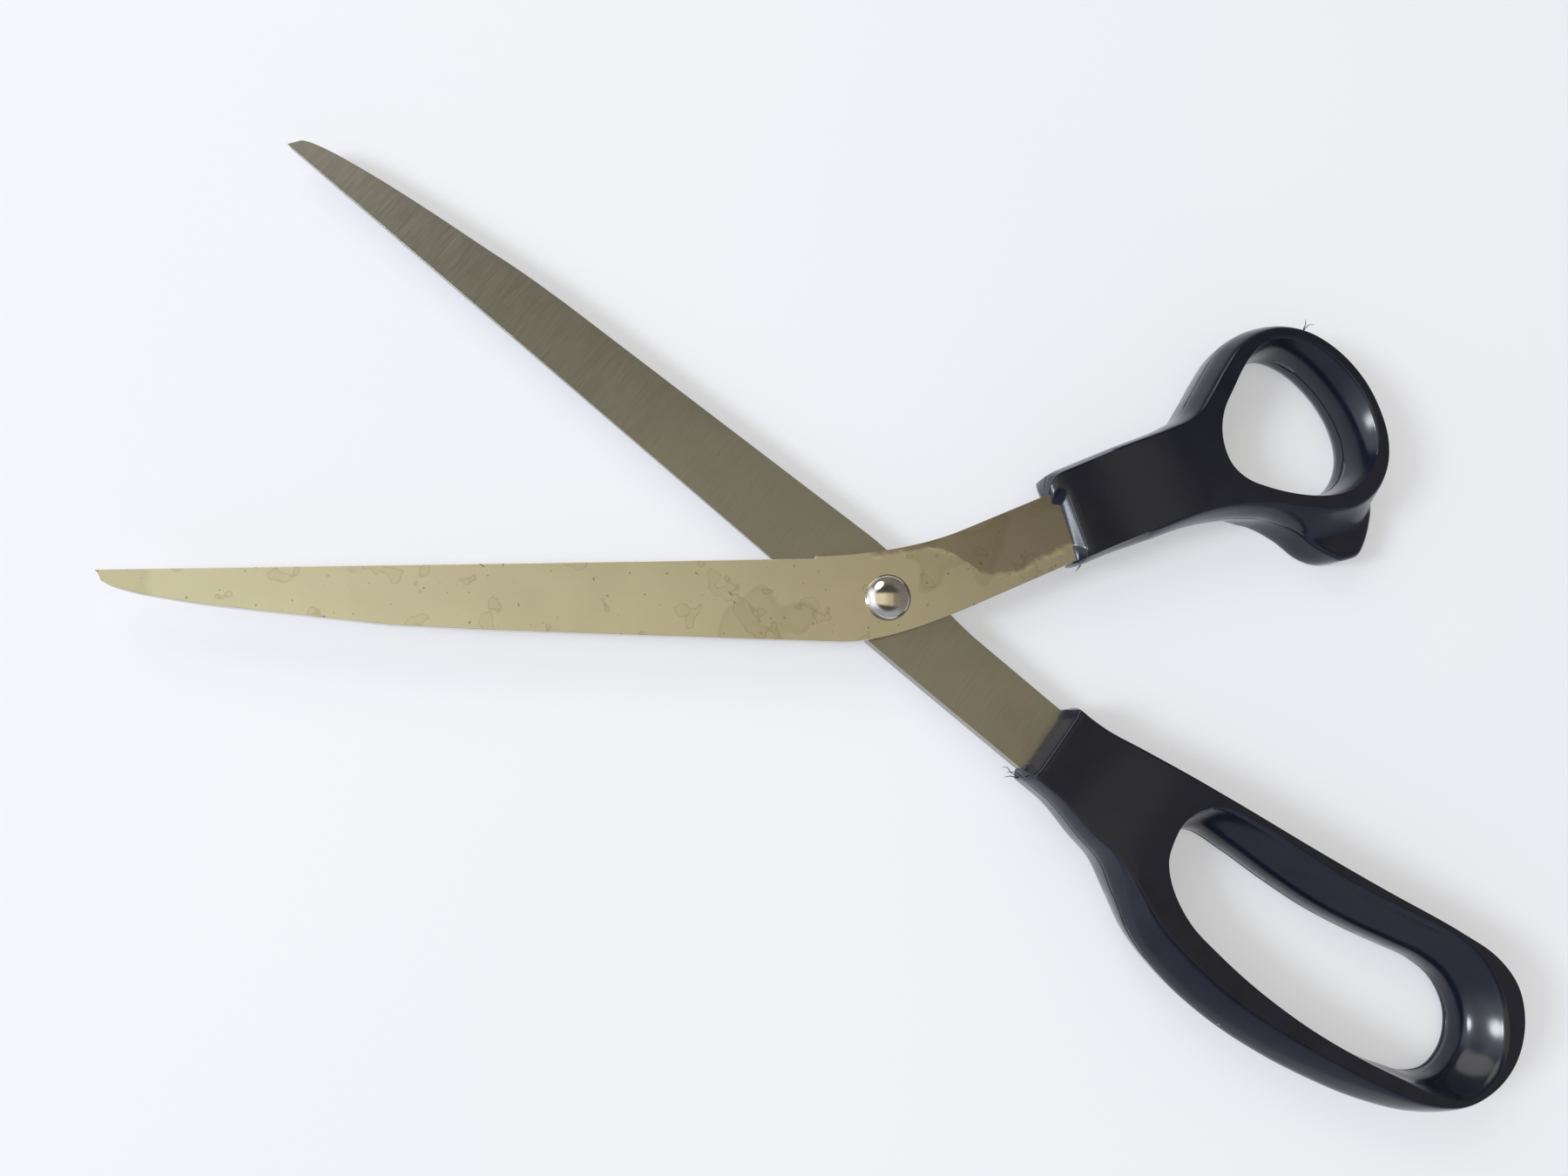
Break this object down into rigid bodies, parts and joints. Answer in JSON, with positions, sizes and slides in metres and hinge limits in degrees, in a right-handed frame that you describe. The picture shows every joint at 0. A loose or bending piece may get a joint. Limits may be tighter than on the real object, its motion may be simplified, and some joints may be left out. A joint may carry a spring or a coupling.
{
  "type": "office scissors",
  "caption": "Hand scissors with crossed flat steel blades on a domed rivet, a round thumb ring with a closing stop and a long finger loop, lying open on their side.",
  "frame": {"origin": "on the pivot axis, at the flat end of the rivet's tail, which is the level that the scissors lie on", "axes": "-X from the pivot to the tip of the back blade, along the line on which its edge closes; +X towards the end of the finger loop; +Z along the pivot axis, towards the rivet's dome; +Y towards the thumb ring's side"},
  "size_m": [0.249, 0.1555, 0.011],
  "materials": {
    "blade_steel": "stamped stainless steel, ground along the cutting edges and finely polished on the faces, with light scratches and faint stains",
    "rivet_chrome": "polished dome",
    "washer_steel": "plain stamped washer",
    "handle_plastic": "smooth black moulded plastic with a soft gloss, a parting line at mid-height and small specks and scuffs"
  },
  "bodies": {
    "finger_half": {"back_blade": "blade_steel", "finger_handle": "handle_plastic", "pivot_rivet": "rivet_chrome", "rivet_washer": "washer_steel"},
    "thumb_half": {"front_blade": "blade_steel", "thumb_handle": "handle_plastic"}
  },
  "joints": [
    {"name": "pivot", "type": "hinge", "parent": "finger_half", "child": "thumb_half", "pos_m": [0, 0, 0.0055], "axis": [0, 0, 1], "range_deg": [-35.1, 85]}
  ]
}
